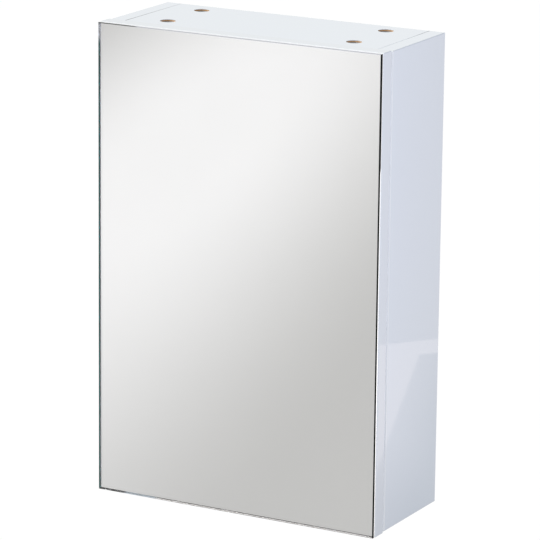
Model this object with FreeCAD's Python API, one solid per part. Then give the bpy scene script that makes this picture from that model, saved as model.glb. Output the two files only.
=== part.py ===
import FreeCAD, Part
import os

from FreeCAD import Vector

# Wall-hung cabinet with one mirror door. X runs to the right, Y to the wall, Z up, in millimetres.
# The origin lies on the rear plane, midway between the entry holes of the two hangers.

# Carcass boards
cabinet_width = 300.0
carcass_height = 458.0
carcass_depth = 108.0
board_thickness = 16.0
edge_radius = 1.0
seam_radius = 0.4
seam_gap = 0.15
hanger_drop_length = 40.0
overrun = 1.0

# Back panel, held in grooves on all four sides
back_thickness = 3.0
back_setback = 8.0
groove_depth = 5.5
groove_side_clearance = 0.1
groove_end_clearance = 0.5

# Cam locks, their bolts and the dowels of the carcass joints
cam_radius = 7.4
cam_clearance = 0.1
cam_height = 9.8
cam_recess_depth = 2.5
cam_setback = 35.0
cam_edge_setback = 22.0
cam_slot_length = 8.0
cam_slot_width = 1.8
cam_slot_depth = 3.0
bolt_radius = 3.0
bolt_neck_radius = 2.2
bolt_head_radius = 3.5
bolt_head_length = 3.2
bolt_bite_length = 11.0
bolt_reach_length = 2.5
bolt_fit = 0.05
bolt_clearance = 0.4
dowel_radius = 4.0
dowel_length = 30.0
dowel_bite_length = 11.0
dowel_chamfer_width = 0.8
dowel_fit = 0.05
blind_hole_spare_depth = 1.0

# Shelves on pegs, in rows of holes
shelf_count = 2
shelf_thickness = 12.0
shelf_side_gap = 1.0
shelf_back_gap = 1.0
shelf_setback = 10.0
row_setback = 37.0
row_pitch = 32.0
peg_radius = 2.5
peg_depth = 9.0
peg_fit = 0.05
tongue_length = 9.0
tongue_width = 11.0
tongue_thickness = 2.4
tongue_corner_radius = 2.0

# Hangers: keyhole plates let into the rear edges of the side panels
hanger_thickness = 1.5
hanger_width = 13.0
hanger_length = 58.0
hanger_corner_radius = 3.0
hanger_fit = 0.2
keyhole_radius = 4.75
keyslot_radius = 2.6
keyhole_rise_height = 11.0
keyhole_clearance = 1.2
hanger_pocket_depth = 6.5
hanger_screw_radius = 1.75
hanger_screw_head_radius = 3.3
hanger_screw_length = 16.0
hanger_screw_pitch = 42.0
screw_fit = 0.05

# Door: board, adhesive tapes and mirror
door_gap = 1.5
door_overhang = 1.0
door_board_thickness = 16.0
tape_thickness = 0.5
tape_width = 25.0
tape_margin = 30.0
tape_count = 3
glass_thickness = 4.0
glass_inset = 0.5
glass_arris_width = 0.5
bumper_width = 5.0
bumper_inset = 1.2
bumper_end_margin = 1.0

# Concealed hinges: cup in the door
hinge_setback = 90.0
cup_setback = 21.0
cup_radius = 17.5
cup_depth = 12.6
cup_wall_thickness = 0.7
cup_fit = 0.05
flange_thickness = 0.9
flange_margin = 0.5
flange_ear_radius = 6.0
cup_screw_pitch = 45.0
cup_screw_offset = 9.5
cup_screw_radius = 1.5
cup_screw_head_radius = 3.2
cup_screw_crown_radius = 2.2
cup_screw_head_height = 1.4
cup_screw_length = 11.0

# Concealed hinges: pins and links.
# Places are shares of the cup's radius, from its axis into the cabinet,
# and of the cup's depth, from the rear face of the door towards the mirror.
mouth_pin_shares = (-0.686, 0.206)
deep_pin_shares = (-0.571, 0.484)
nose_pin_shares = (0.194, 0.563)
rear_pin_shares = (0.857, -0.913)
outer_link_bend_shares = [(-0.537, 0.238), (-0.394, 0.405), (-0.143, 0.325)]
inner_link_bend_shares = [(-0.229, 0.770), (0.029, 0.794)]
arm_nose_bend_shares = [(0.429, -0.357), (0.263, 0.198)]
open_eye_shift_shares = (0.004, -0.008)
pin_radius = 1.0
pin_fit = 0.05
pin_seat_fit = 0.02
pin_head_radius = 1.8
pin_head_height = 0.6
link_half_width = 1.5
link_eye_wall_thickness = 1.2
open_pivot_clearance = 1.2
nose_width = 5.8
nose_half_width = 2.2
link_side_gap = 0.3
inner_link_cheek_thickness = 1.3
outer_link_strap_thickness = 1.2
strap_gap = 0.4

# Concealed hinges: arm on its mounting plate
arm_length = 42.0
arm_front_setback = 16.0
arm_width = 14.0
arm_web_thickness = 1.5
arm_wall_thickness = 1.4
arm_wall_gap = 4.0
arm_core_half_width = 2.4
arm_edge_radius = 1.0
plate_height = 13.5
plate_base_thickness = 2.2
plate_ridge_width = 10.6
plate_ridge_length = 40.0
plate_ridge_slope_length = 3.0
plate_wing_length = 48.0
plate_wing_width = 14.0
plate_wing_radius = 5.0
plate_screw_pitch = 32.0
plate_screw_radius = 2.4
plate_screw_head_radius = 3.8
plate_screw_length = 13.0
arm_screw_radius = 1.9
arm_screw_head_radius = 3.2
arm_screw_head_height = 1.6
arm_screw_length = 8.0
arm_screw_setback = 10.0
side_screw_setback = 32.0

# Places that follow from the sizes
half_width = cabinet_width / 2
inner_half = half_width - board_thickness
mid_depth = -carcass_depth / 2
carcass_top = hanger_drop_length
carcass_bottom = hanger_drop_length - carcass_height
door_top = carcass_top + door_overhang
door_bottom = carcass_bottom - door_overhang
door_rear = -carcass_depth - door_gap
door_front = door_rear - door_board_thickness
glass_rear = door_front - tape_thickness
glass_front = glass_rear - glass_thickness
hanger_x = half_width - board_thickness / 2
hanger_mid = keyhole_rise_height / 2
cup_across = cup_setback - board_thickness
cup_inner_radius = cup_radius - cup_wall_thickness
hinge_heights = {"upper": door_top - hinge_setback, "lower": door_bottom + hinge_setback}
nose_half_height = nose_width / 2
cheek_low = nose_half_height + link_side_gap
cheek_high = cheek_low + inner_link_cheek_thickness
strap_low = cheek_high + strap_gap
strap_high = strap_low + outer_link_strap_thickness
link_eye_radius = pin_radius + link_eye_wall_thickness
inner_height = carcass_height - 2 * board_thickness
compartment_height = (inner_height - shelf_count * shelf_thickness) / (shelf_count + 1)
shelf_heights = [
    carcass_bottom + board_thickness + compartment_height + n * (compartment_height + shelf_thickness)
    for n in range(shelf_count)
]


def box(low, high):
    size = high.sub(low)
    return Part.makeBox(size.x, size.y, size.z, low)


def rod(radius, start, end):
    run = end.sub(start)
    return Part.makeCylinder(radius, run.Length, start, run)


def cone(start_radius, end_radius, start, end):
    run = end.sub(start)
    return Part.makeCone(start_radius, end_radius, run.Length, start, run)


def group(shapes):
    return Part.makeCompound(shapes)


def edges_along(shape, axis):
    """The straight edges of a blank that run along one axis."""
    return [e for e in shape.Edges if e.tangentAt(e.FirstParameter).cross(axis).Length < e.Tolerance]


def capsule(start, end, radius, rise):
    """A flat bar with round ends from start to end, as thick as rise along Z."""
    along = end.sub(start).normalize()
    side = Vector(-along.y, along.x, 0).multiply(radius)
    tip = Vector(along).multiply(radius)
    outline = Part.Wire([
        Part.LineSegment(start.add(side), end.add(side)).toShape(),
        Part.Arc(end.add(side), end.add(tip), end.sub(side)).toShape(),
        Part.LineSegment(end.sub(side), start.sub(side)).toShape(),
        Part.Arc(start.sub(side), start.sub(tip), start.add(side)).toShape(),
    ])
    return Part.Face(outline).extrude(Vector(0, 0, rise))


def strap(points, half_width, low, high):
    """A bent flat link through the points, from height low to height high."""
    bars = []
    for start, end in zip(points, points[1:]):
        foot = Vector(start.x, start.y, low)
        head = Vector(end.x, end.y, low)
        bars.append(capsule(foot, head, half_width, high - low))
    return bars[0].fuse(bars[1:]).removeSplitter() if len(bars) > 1 else bars[0]


def upright(point, radius, low, high):
    """A round bar along Z at the point's place."""
    return rod(radius, Vector(point.x, point.y, low), Vector(point.x, point.y, high))


def board_blank(low, high):
    blank = box(low, high)
    return blank.makeFillet(edge_radius, blank.Edges)


# Carcass joints

def joint_point(side, y, z, distance):
    """A point on a joint's axis, at a distance from the inner face of the side panel into the cabinet."""
    return Vector(side * (inner_half - distance), y, z)


def cam_rows():
    return [-carcass_depth + cam_edge_setback, -cam_edge_setback]


def joint_heights():
    return [carcass_top - board_thickness / 2, carcass_bottom + board_thickness / 2]


def cam_lock(side, y, outer_z, inward):
    """A round zinc cam, with a cross slot outside and a pocket for the bolt's head."""
    x = side * (inner_half - cam_setback)
    face_z = outer_z + inward * cam_recess_depth
    face = Vector(x, y, face_z)
    cam = rod(cam_radius, face, Vector(x, y, face_z + inward * cam_height))
    slots = []
    for long_x, long_y in ((cam_slot_length, cam_slot_width), (cam_slot_width, cam_slot_length)):
        bottom = face_z + inward * cam_slot_depth
        low = Vector(x - long_x / 2, y - long_y / 2, min(face_z, bottom))
        high = Vector(x + long_x / 2, y + long_y / 2, max(face_z, bottom))
        slots.append(box(low, high))
    axis_z = outer_z + inward * board_thickness / 2
    mouth = joint_point(side, y, axis_z, cam_setback - cam_radius - overrun)
    floor = joint_point(side, y, axis_z, cam_setback + bolt_reach_length + bolt_clearance)
    pocket = rod(bolt_head_radius + bolt_clearance, mouth, floor)
    return cam.cut(slots + [pocket])


def cam_bolt(side, y, z):
    """A bolt screwed into the side panel, with a neck and head that the cam draws in."""
    rim = joint_point(side, y, z, cam_setback - cam_radius)
    tip = joint_point(side, y, z, cam_setback + bolt_reach_length)
    head_start = joint_point(side, y, z, cam_setback + bolt_reach_length - bolt_head_length)
    shank = rod(bolt_radius, joint_point(side, y, z, -bolt_bite_length), rim)
    neck = rod(bolt_neck_radius, rim, head_start)
    head = rod(bolt_head_radius, head_start, tip)
    return shank.fuse([neck, head]).removeSplitter()


def cam_locks(outer_z, inward):
    return group([cam_lock(side, y, outer_z, inward) for side in (-1, 1) for y in cam_rows()])


def cam_bolts(z):
    return group([cam_bolt(side, y, z) for side in (-1, 1) for y in cam_rows()])


def dowel(side, z):
    start = joint_point(side, mid_depth, z, -dowel_bite_length)
    end = joint_point(side, mid_depth, z, dowel_length - dowel_bite_length)
    pin = rod(dowel_radius, start, end)
    return pin.makeChamfer(dowel_chamfer_width, [e for e in pin.Edges if e.Closed])


def wooden_dowels():
    return group([dowel(side, z) for side in (-1, 1) for z in joint_heights()])


# Carcass boards

def side_joint_holes(side):
    """Blind holes in a side panel for the cam bolts and dowels."""
    holes = []
    for z in joint_heights():
        for y in cam_rows():
            start = joint_point(side, y, z, overrun)
            end = joint_point(side, y, z, -bolt_bite_length - blind_hole_spare_depth)
            holes.append(rod(bolt_radius + bolt_fit, start, end))
        start = joint_point(side, mid_depth, z, overrun)
        end = joint_point(side, mid_depth, z, -dowel_bite_length - blind_hole_spare_depth)
        holes.append(rod(dowel_radius + dowel_fit, start, end))
    return holes


def row_depths():
    front = -carcass_depth + row_setback
    return [front, front + row_pitch]


def peg_holes(side):
    """Three heights of peg holes for each shelf, in two rows."""
    holes = []
    for shelf_z in shelf_heights:
        for step in (-1, 0, 1):
            z = shelf_z - peg_radius + step * row_pitch
            for y in row_depths():
                start = joint_point(side, y, z, overrun)
                end = joint_point(side, y, z, -peg_depth - blind_hole_spare_depth)
                holes.append(rod(peg_radius + peg_fit, start, end))
    return holes


def back_groove(low_x, high_x, low_z, high_z):
    front = -back_setback - back_thickness - groove_side_clearance
    rear = -back_setback + groove_side_clearance
    return box(Vector(low_x, front, low_z), Vector(high_x, rear, high_z))


def hanger_recess(side):
    """Room for a hanger plate, with a deeper pocket for the head of the wall screw."""
    x = side * hanger_x
    half = hanger_width / 2 + hanger_fit
    reach = hanger_length / 2 + hanger_fit
    low = Vector(x - half, -hanger_thickness, hanger_mid - reach)
    high = Vector(x + half, hanger_thickness, hanger_mid + reach)
    blank = box(low, high)
    seat = blank.makeFillet(hanger_corner_radius, edges_along(blank, Vector(0, 1, 0)))
    wide = keyhole_radius + keyhole_clearance
    floor = -hanger_pocket_depth
    entry = rod(wide, Vector(x, floor, 0), Vector(x, 0, 0))
    top = rod(wide, Vector(x, floor, keyhole_rise_height), Vector(x, 0, keyhole_rise_height))
    middle = box(Vector(x - wide, floor, 0), Vector(x + wide, 0, keyhole_rise_height))
    pilots = []
    for z in hanger_screw_heights():
        end = Vector(x, -hanger_screw_length - blind_hole_spare_depth, z)
        pilots.append(rod(hanger_screw_radius + screw_fit, Vector(x, 0, z), end))
    return [seat, entry, top, middle] + pilots


def hanger_screw_heights():
    return [hanger_mid - hanger_screw_pitch / 2, hanger_mid + hanger_screw_pitch / 2]


def side_panel(side):
    inner = side * inner_half
    outer = side * half_width
    low = Vector(min(inner, outer), -carcass_depth, carcass_bottom)
    high = Vector(max(inner, outer), 0, carcass_top)
    groove_x = side * (inner_half + groove_depth)
    groove = back_groove(
        min(inner, groove_x),
        max(inner, groove_x),
        carcass_bottom + board_thickness - groove_depth,
        carcass_top - board_thickness + groove_depth,
    )
    cuts = [groove] + side_joint_holes(side) + peg_holes(side) + hanger_recess(side)
    if side < 0:
        for height in hinge_heights.values():
            cuts += plate_screw_holes(height)
    return side_blank(low, high).cut(cuts)


def side_blank(low, high):
    """A board with full rounds outside and a fine round where the cross panels meet it."""
    blank = box(low, high)
    middle = inner_half + board_thickness / 4
    outside = [e for e in blank.Edges if abs(e.CenterOfMass.x) > middle]
    rounded = blank.makeFillet(edge_radius, outside)
    inside = [e for e in rounded.Edges if abs(e.BoundBox.Center.x) < middle]
    return rounded.makeFillet(seam_radius, inside)


def cross_panel(outer_z, inward):
    """The top or bottom board between the side panels, with cam bores in its outer face."""
    inner_z = outer_z + inward * board_thickness
    axis_z = outer_z + inward * board_thickness / 2
    end_x = inner_half - seam_gap
    low = Vector(-end_x, -carcass_depth, min(outer_z, inner_z))
    high = Vector(end_x, 0, max(outer_z, inner_z))
    blank = box(low, high)
    panel = blank.makeFillet(edge_radius, edges_along(blank, Vector(1, 0, 0)))
    groove_z = inner_z - inward * groove_depth
    cuts = [back_groove(-inner_half, inner_half, min(inner_z, groove_z), max(inner_z, groove_z))]
    for side in (-1, 1):
        for y in cam_rows():
            x = side * (inner_half - cam_setback)
            mouth = Vector(x, y, outer_z - inward * overrun)
            floor = Vector(x, y, outer_z + inward * (cam_recess_depth + cam_height))
            cuts.append(rod(cam_radius + cam_clearance, mouth, floor))
            start = joint_point(side, y, axis_z, -overrun)
            end = joint_point(side, y, axis_z, cam_setback)
            cuts.append(rod(bolt_head_radius + bolt_clearance, start, end))
        start = joint_point(side, mid_depth, axis_z, -overrun)
        reach = dowel_length - dowel_bite_length + blind_hole_spare_depth
        end = joint_point(side, mid_depth, axis_z, reach)
        cuts.append(rod(dowel_radius + dowel_fit, start, end))
    return panel.cut(cuts)


def back_panel():
    reach = groove_depth - groove_end_clearance
    low_z = carcass_bottom + board_thickness - reach
    high_z = carcass_top - board_thickness + reach
    low = Vector(-inner_half - reach, -back_setback - back_thickness, low_z)
    return box(low, Vector(inner_half + reach, -back_setback, high_z))


# Shelves

def shelf(shelf_z):
    half = inner_half - shelf_side_gap
    rear = -back_setback - back_thickness - shelf_back_gap
    low = Vector(-half, -carcass_depth + shelf_setback, shelf_z)
    high = Vector(half, rear, shelf_z + shelf_thickness)
    return board_blank(low, high)


def shelf_pin(side, y, shelf_z):
    """A peg with a flat tongue that carries the shelf."""
    root = side * inner_half
    tip = side * (inner_half - tongue_length)
    low = Vector(min(root, tip), y - tongue_width / 2, shelf_z - tongue_thickness)
    high = Vector(max(root, tip), y + tongue_width / 2, shelf_z)
    blank = box(low, high)
    uprights = edges_along(blank, Vector(0, 0, 1))
    corners = [e for e in uprights if abs(e.CenterOfMass.x) < inner_half - overrun]
    tongue = blank.makeFillet(tongue_corner_radius, corners)
    axis_z = shelf_z - peg_radius
    peg = rod(peg_radius, joint_point(side, y, axis_z, 0), joint_point(side, y, axis_z, -peg_depth))
    return tongue.fuse(peg).removeSplitter()


def shelf_pins(shelf_z):
    return group([shelf_pin(side, y, shelf_z) for side in (-1, 1) for y in row_depths()])


# Hangers

def hanger_screw_hole(x, z):
    """The countersunk hole of a plate screw."""
    head = hanger_screw_head_radius + screw_fit
    shank = hanger_screw_radius + screw_fit
    return cone(head, shank, Vector(x, 0, z), Vector(x, -hanger_thickness, z))


def hanger_plate(side):
    x = side * hanger_x
    low = Vector(x - hanger_width / 2, -hanger_thickness, hanger_mid - hanger_length / 2)
    high = Vector(x + hanger_width / 2, 0, hanger_mid + hanger_length / 2)
    blank = box(low, high)
    plate = blank.makeFillet(hanger_corner_radius, edges_along(blank, Vector(0, 1, 0)))
    front = -hanger_thickness - overrun
    entry = rod(keyhole_radius, Vector(x, front, 0), Vector(x, overrun, 0))
    top = Vector(x, overrun, keyhole_rise_height)
    seat = rod(keyslot_radius, Vector(x, front, keyhole_rise_height), top)
    slot = box(Vector(x - keyslot_radius, front, 0), top.add(Vector(keyslot_radius, 0, 0)))
    holes = [hanger_screw_hole(x, z) for z in hanger_screw_heights()]
    return plate.cut([entry.fuse([seat, slot]).removeSplitter()] + holes)


def hanger_screw(side, z):
    x = side * hanger_x
    seat = Vector(x, -hanger_thickness, z)
    head = cone(hanger_screw_head_radius, hanger_screw_radius, Vector(x, 0, z), seat)
    shank = rod(hanger_screw_radius, seat, Vector(x, -hanger_screw_length, z))
    return head.fuse(shank).removeSplitter()


def hanger_screws():
    return group([hanger_screw(side, z) for side in (-1, 1) for z in hanger_screw_heights()])


# Door

def door_panel():
    low = Vector(-half_width, door_front, door_bottom)
    high = Vector(half_width, door_rear, door_top)
    cuts = []
    for height in hinge_heights.values():
        cup_x = hinge_point(cup_across, 0, height).x
        mouth = Vector(cup_x, door_rear + overrun, height)
        floor = Vector(cup_x, door_rear - cup_depth, height)
        cuts.append(rod(cup_radius + cup_fit, mouth, floor))
        for place in cup_screw_places(height):
            start = Vector(place.x, door_rear + overrun, place.z)
            end = Vector(place.x, door_rear - cup_screw_length - blind_hole_spare_depth, place.z)
            cuts.append(rod(cup_screw_radius + screw_fit, start, end))
    return board_blank(low, high).cut(cuts)


def mirror_glass():
    """The mirror sheet, with its front edges ground to a narrow arris."""
    low = Vector(-half_width + glass_inset, glass_front, door_bottom + glass_inset)
    high = Vector(half_width - glass_inset, glass_rear, door_top - glass_inset)
    sheet = box(low, high)
    front = [e for e in sheet.Edges if e.CenterOfMass.y < glass_front + glass_thickness / 4]
    return sheet.makeChamfer(glass_arris_width, front)


def mirror_tapes():
    """Upright strips of adhesive foam tape between the mirror and its board."""
    room = cabinet_width - 2 * tape_margin - tape_width
    tapes = []
    for n in range(tape_count):
        x = -half_width + tape_margin + n * room / (tape_count - 1)
        low = Vector(x, glass_rear, door_bottom + tape_margin)
        tapes.append(box(low, Vector(x + tape_width, door_front, door_top - tape_margin)))
    return group(tapes)


def door_bumpers():
    """A soft strip on the front edge of the right side panel, where the free edge of the door lands."""
    outer = half_width - bumper_inset
    low = Vector(outer - bumper_width, door_rear, carcass_bottom + bumper_end_margin)
    return box(low, Vector(outer, -carcass_depth, carcass_top - bumper_end_margin))


# Concealed hinges

def hinge_point(across, out, z):
    """A place by its distances from the left side panel's inner face and from the carcass front."""
    return Vector(-inner_half + across, -carcass_depth - out, z)


def cup_place(shares, z):
    """A place by shares of the cup's radius and depth."""
    return hinge_point(cup_across + shares[0] * cup_radius, door_gap + shares[1] * cup_depth, z)


def cup_screw_places(height):
    x = hinge_point(cup_across + cup_screw_offset, 0, height).x
    half = cup_screw_pitch / 2
    return [Vector(x, door_rear, height - half), Vector(x, door_rear, height + half)]


def hinge_cup(height):
    """A pressed cup with a flange, and holes in its wall for the ends of the pins."""
    x = hinge_point(cup_across, 0, height).x
    flange_y = door_rear + flange_thickness
    face = Vector(x, door_rear, height)
    lip = Vector(x, flange_y, height)
    body = rod(cup_radius, face, Vector(x, door_rear - cup_depth, height))
    flange = rod(cup_radius + flange_margin, face, lip)
    ears = []
    for place in cup_screw_places(height):
        ears.append(rod(flange_ear_radius, place, Vector(place.x, flange_y, place.z)))
    first, last = cup_screw_places(height)
    low = Vector(first.x - flange_ear_radius, door_rear, first.z)
    ears.append(box(low, Vector(last.x + flange_ear_radius, flange_y, last.z)))
    shell = body.fuse([flange] + ears).removeSplitter()
    inner_floor = Vector(x, door_rear - cup_depth + cup_wall_thickness, height)
    holes = [rod(cup_inner_radius, Vector(x, flange_y + overrun, height), inner_floor)]
    for shares in (mouth_pin_shares, deep_pin_shares):
        place = cup_place(shares, height)
        holes.append(upright(place, pin_radius + pin_seat_fit, height - cup_radius, height + cup_radius))
    for place in cup_screw_places(height):
        below = Vector(place.x, door_rear - overrun, place.z)
        above = Vector(place.x, flange_y + overrun, place.z)
        holes.append(rod(cup_screw_radius + screw_fit, below, above))
    return shell.cut(holes)


def hinge_cup_pins(height):
    """One long pin deep in the cup and two short ones at its mouth, flush with the outside of the cup."""
    x = hinge_point(cup_across, 0, height).x
    outside = rod(cup_radius, Vector(x, door_rear, height), Vector(x, door_rear - cup_depth, height))
    deep = cup_place(deep_pin_shares, height)
    mouth = cup_place(mouth_pin_shares, height)
    bars = [upright(deep, pin_radius, height - cup_radius, height + cup_radius)]
    bars.append(upright(mouth, pin_radius, height + strap_low, height + cup_radius))
    bars.append(upright(mouth, pin_radius, height - cup_radius, height - strap_low))
    return group([bar.common(outside) for bar in bars])


def hinge_cup_screws(height):
    screws = []
    for place in cup_screw_places(height):
        seat = Vector(place.x, door_rear + flange_thickness, place.z)
        top = Vector(place.x, seat.y + cup_screw_head_height, place.z)
        head = cone(cup_screw_head_radius, cup_screw_crown_radius, seat, top)
        shank = rod(cup_screw_radius, seat, Vector(place.x, door_rear - cup_screw_length, place.z))
        screws.append(head.fuse(shank).removeSplitter())
    return group(screws)


def mirrored(low, high, height):
    """The two height ranges of a pair of plates above and below the hinge's middle."""
    return [(height + low, height + high), (height - high, height - low)]


def hinge_outer_link(height):
    """Two bent straps from the rear pin of the arm to the pins at the mouth of the cup."""
    mouth = cup_place(mouth_pin_shares, height)
    rear = cup_place(rear_pin_shares, height)
    path = [mouth] + [cup_place(shares, height) for shares in outer_link_bend_shares] + [rear]
    straps = []
    for low, high in mirrored(strap_low, strap_high, height):
        bar = strap(path, link_half_width, low, high)
        eyes = [upright(pin, link_eye_radius, low, high) for pin in (mouth, rear)]
        bore = pin_radius + pin_fit
        holes = [upright(pin, bore, low - overrun, high + overrun) for pin in (mouth, rear)]
        straps.append(bar.fuse(eyes).removeSplitter().cut(holes))
    return group(straps)


def hinge_inner_link(height):
    """A short forked link from the nose of the arm to the deep pin, with a wide eye at that pin."""
    deep = cup_place(deep_pin_shares, height)
    nose = cup_place(nose_pin_shares, height)
    bends = [cup_place(shares, height) for shares in inner_link_bend_shares]
    shift = Vector(open_eye_shift_shares[0] * cup_radius, -open_eye_shift_shares[1] * cup_depth, 0)
    eye = deep.add(shift)
    low = height - cheek_high
    high = height + cheek_high
    open_radius = pin_radius + open_pivot_clearance
    bar = strap([eye] + bends + [nose], link_half_width, low, high)
    eyes = [upright(eye, open_radius + link_eye_wall_thickness, low, high)]
    eyes.append(upright(nose, link_eye_radius, low, high))
    holes = [upright(eye, open_radius, low - overrun, high + overrun)]
    holes.append(upright(nose, pin_radius + pin_fit, low - overrun, high + overrun))
    fork_start = bends[0].x
    reach = cup_depth + overrun
    fork_low = Vector(fork_start, nose.y - reach, height - cheek_low)
    fork = box(fork_low, Vector(nose.x + reach, nose.y + reach, height + cheek_low))
    return bar.fuse(eyes).removeSplitter().cut(holes + [fork])


def hinge_arm(height):
    """A cast arm: a channel over the mounting plate, a core that holds the rear pin, and a bent nose."""
    half = arm_width / 2
    rear_out = -arm_front_setback - arm_length
    top_across = plate_height + arm_web_thickness
    low = hinge_point(arm_wall_gap, -arm_front_setback, height - half)
    high = hinge_point(top_across, rear_out, height + half)
    blank = box(low, high)
    long_edges = edges_along(blank, Vector(0, 1, 0))
    corners = [e for e in long_edges if e.CenterOfMass.x > low.x + arm_web_thickness]
    shell = blank.makeFillet(arm_edge_radius, corners)
    inner = half - arm_wall_thickness
    room_low = hinge_point(arm_wall_gap - overrun, -arm_front_setback + overrun, height - inner)
    room = box(room_low, hinge_point(plate_height, rear_out - overrun, height + inner))
    channel = shell.cut(room)
    rear = cup_place(rear_pin_shares, height)
    nose = cup_place(nose_pin_shares, height)
    root = hinge_point(plate_height + arm_web_thickness / 2, -arm_front_setback, height)
    core = strap([root, rear], arm_core_half_width, height - cheek_high, height + cheek_high)
    bends = [cup_place(shares, height) for shares in arm_nose_bend_shares]
    nose_low = height - nose_half_height
    bent = strap([rear] + bends + [nose], nose_half_width, nose_low, nose_low + nose_width)
    arm = channel.fuse([core, bent]).removeSplitter()
    holes = []
    for pin in (rear, nose):
        holes.append(upright(pin, pin_radius + pin_seat_fit, height - half, height + half))
    half_slot = arm_screw_radius + screw_fit
    for seat in arm_screw_seats(height):
        above = seat.add(Vector(overrun, 0, 0))
        holes.append(rod(half_slot, arm_screw_end(seat), above))
    fixing = arm_screw_seats(height)[0]
    slot_low = Vector(arm_screw_end(fixing).x, fixing.y, height - half_slot)
    slot_high = hinge_point(top_across + overrun, rear_out - overrun, height + half_slot)
    return arm.cut(holes + [box(slot_low, slot_high)])


def hinge_arm_pins(height):
    """The rear pin, headed outside the straps, and the short pin in the nose."""
    rear = cup_place(rear_pin_shares, height)
    nose = cup_place(nose_pin_shares, height)
    head_low = strap_high + pin_fit
    long_pin = upright(rear, pin_radius, height - head_low, height + head_low)
    heads = []
    for low, high in mirrored(head_low, head_low + pin_head_height, height):
        heads.append(upright(rear, pin_head_radius, low, high))
    short_pin = upright(nose, pin_radius, height - cheek_high, height + cheek_high)
    return group([long_pin.fuse(heads).removeSplitter(), short_pin])


def arm_screw_seats(height):
    """Seats of the fixing screw and the side adjusting screw on the arm's outer face."""
    top = plate_height + arm_web_thickness
    rear_out = -arm_front_setback - arm_length
    distances = (arm_screw_setback, side_screw_setback)
    return [hinge_point(top, rear_out + distance, height) for distance in distances]


def arm_screw_end(seat):
    return seat.sub(Vector(arm_screw_length, 0, 0))


def hinge_arm_screws(height):
    screws = []
    for seat in arm_screw_seats(height):
        head = rod(arm_screw_head_radius, seat, seat.add(Vector(arm_screw_head_height, 0, 0)))
        shank = rod(arm_screw_radius, arm_screw_end(seat), seat)
        screws.append(head.fuse(shank).removeSplitter())
    return group(screws)


def plate_screw_places(height):
    half = plate_screw_pitch / 2
    return [hinge_point(0, -row_setback, height - half), hinge_point(0, -row_setback, height + half)]


def plate_screw_holes(height):
    """Pilot holes in the left side panel for the screws of a mounting plate."""
    holes = []
    for place in plate_screw_places(height):
        end = place.sub(Vector(plate_screw_length - plate_base_thickness + blind_hole_spare_depth, 0, 0))
        holes.append(rod(plate_screw_radius + screw_fit, place.add(Vector(overrun, 0, 0)), end))
    return holes


def hinge_plate(height):
    """A winged mounting plate, screwed to the side panel, with a ridge that carries the arm."""
    half_wing = plate_wing_width / 2
    low = hinge_point(0, -row_setback + half_wing, height - plate_wing_length / 2)
    high = hinge_point(plate_base_thickness, -row_setback - half_wing, height + plate_wing_length / 2)
    blank = box(low, high)
    wing = blank.makeFillet(plate_wing_radius, edges_along(blank, Vector(1, 0, 0)))
    front_out = -arm_front_setback - (arm_length - plate_ridge_length)
    rear_out = front_out - plate_ridge_length
    half = plate_ridge_width / 2
    profile = [
        hinge_point(0, front_out, height - half),
        hinge_point(plate_height, front_out - plate_ridge_slope_length, height - half),
        hinge_point(plate_height, rear_out + plate_ridge_slope_length, height - half),
        hinge_point(0, rear_out, height - half),
    ]
    outline = Part.makePolygon(profile + [profile[0]])
    ridge = Part.Face(outline).extrude(Vector(0, 0, plate_ridge_width))
    holes = []
    for place in plate_screw_places(height):
        face = place.add(Vector(plate_base_thickness, 0, 0))
        head = plate_screw_head_radius + screw_fit
        shank = plate_screw_radius + screw_fit
        holes.append(cone(head, shank, face, place))
    for seat in arm_screw_seats(height):
        floor = arm_screw_end(seat).sub(Vector(blind_hole_spare_depth, 0, 0))
        holes.append(rod(arm_screw_radius + screw_fit, floor, seat))
    return wing.fuse(ridge).removeSplitter().cut(holes)


def hinge_plate_screws(height):
    screws = []
    for place in plate_screw_places(height):
        face = place.add(Vector(plate_base_thickness, 0, 0))
        head = cone(plate_screw_head_radius, plate_screw_radius, face, place)
        shank = rod(plate_screw_radius, place, face.sub(Vector(plate_screw_length, 0, 0)))
        screws.append(head.fuse(shank).removeSplitter())
    return group(screws)


nodes = {
    "left_side_panel": side_panel(-1),
    "right_side_panel": side_panel(1),
    "top_panel": cross_panel(carcass_top, -1),
    "bottom_panel": cross_panel(carcass_bottom, 1),
    "back_panel": back_panel(),
    "top_cam_locks": cam_locks(carcass_top, -1),
    "bottom_cam_locks": cam_locks(carcass_bottom, 1),
    "top_cam_bolts": cam_bolts(carcass_top - board_thickness / 2),
    "bottom_cam_bolts": cam_bolts(carcass_bottom + board_thickness / 2),
    "wooden_dowels": wooden_dowels(),
    "left_hanger_plate": hanger_plate(-1),
    "right_hanger_plate": hanger_plate(1),
    "hanger_screws": hanger_screws(),
    "door_board": door_panel(),
    "mirror_glass": mirror_glass(),
    "mirror_tapes": mirror_tapes(),
    "door_bumpers": door_bumpers(),
}
for name, shelf_z in zip(("lower", "upper"), shelf_heights):
    nodes[name + "_shelf"] = shelf(shelf_z)
    nodes[name + "_shelf_pins"] = shelf_pins(shelf_z)
for name, height in hinge_heights.items():
    nodes[name + "_hinge_cup"] = hinge_cup(height)
    nodes[name + "_hinge_cup_pins"] = hinge_cup_pins(height)
    nodes[name + "_hinge_cup_screws"] = hinge_cup_screws(height)
    nodes[name + "_hinge_outer_link"] = hinge_outer_link(height)
    nodes[name + "_hinge_inner_link"] = hinge_inner_link(height)
    nodes[name + "_hinge_arm"] = hinge_arm(height)
    nodes[name + "_hinge_arm_pins"] = hinge_arm_pins(height)
    nodes[name + "_hinge_arm_screws"] = hinge_arm_screws(height)
    nodes[name + "_hinge_plate"] = hinge_plate(height)
    nodes[name + "_hinge_plate_screws"] = hinge_plate_screws(height)

os.makedirs("parts", exist_ok=True)
for name, shape in nodes.items():
    shape.exportStep("parts/" + name + ".step")
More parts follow.
